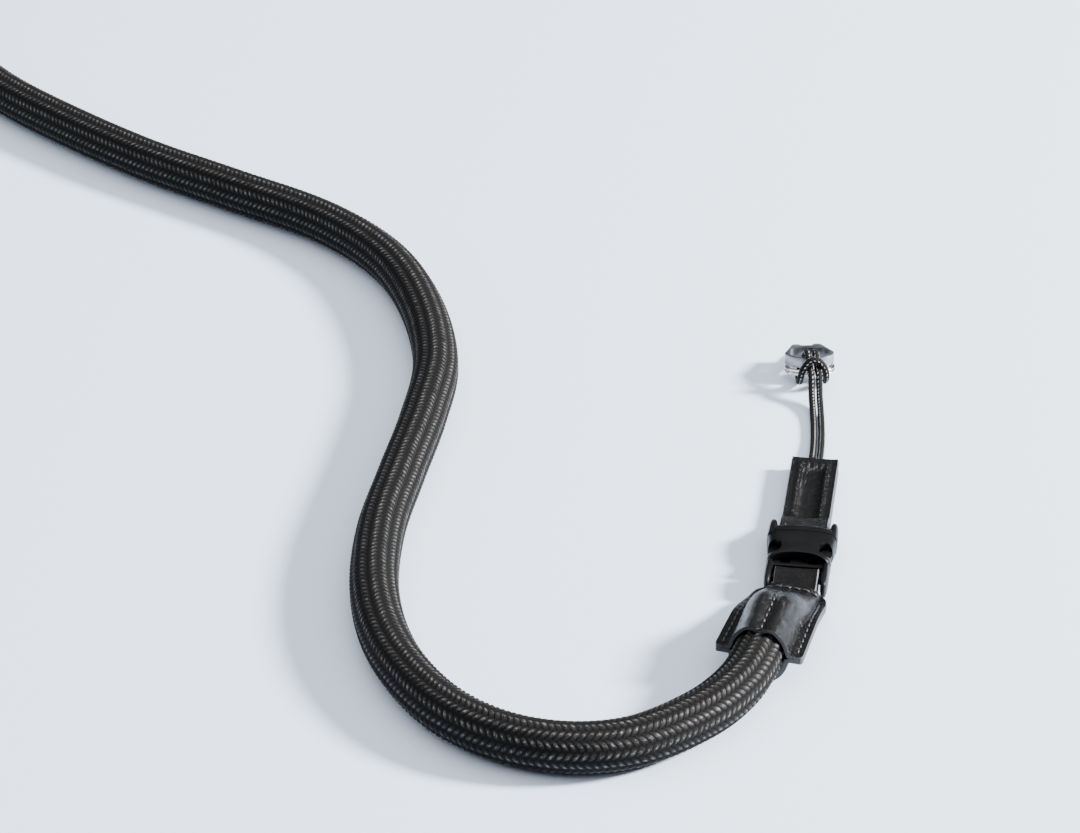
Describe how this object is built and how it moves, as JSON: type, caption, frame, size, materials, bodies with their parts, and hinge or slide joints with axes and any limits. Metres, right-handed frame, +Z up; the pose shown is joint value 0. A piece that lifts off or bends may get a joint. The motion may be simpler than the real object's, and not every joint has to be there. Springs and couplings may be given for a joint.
{
  "type": "camera neck strap",
  "caption": "Round braided rope camera strap with leather sleeves, side-release buckles, leather tabs, thin tethers and guarded split rings.",
  "frame": {"origin": "on the surface that the strap lies on, under the middle of the box that the two ends' fittings fill", "axes": "+Z up from the surface, +Y away from the viewer, towards the strap's hidden end, +X to the viewer's right"},
  "size_m": [0.2181, 0.4501, 0.014],
  "materials": {
    "black_braid": "braided, soft sheen",
    "black_leather": "glazed, fine grain",
    "matt_leather": "matt",
    "black_plastic": "satin moulded",
    "flecked_cord": "tight twisted, slight sheen",
    "grey_guard": "satin",
    "bright_steel": "polished"
  },
  "bodies": {
    "root": {"sleeve_a": "black_leather", "strip_a": "matt_leather", "buckle_insert_a": "black_plastic", "buckle_receiver_a": "black_plastic", "tab_a": "black_leather", "tether_a": "flecked_cord", "ring_guard_a": "grey_guard", "split_ring_a": "bright_steel", "sleeve_b": "black_leather", "strip_b": "matt_leather", "buckle_insert_b": "black_plastic", "buckle_receiver_b": "black_plastic", "tab_b": "black_leather", "tether_b": "flecked_cord", "ring_guard_b": "grey_guard", "split_ring_b": "bright_steel", "rope": "black_braid"}
  },
  "joints": []
}
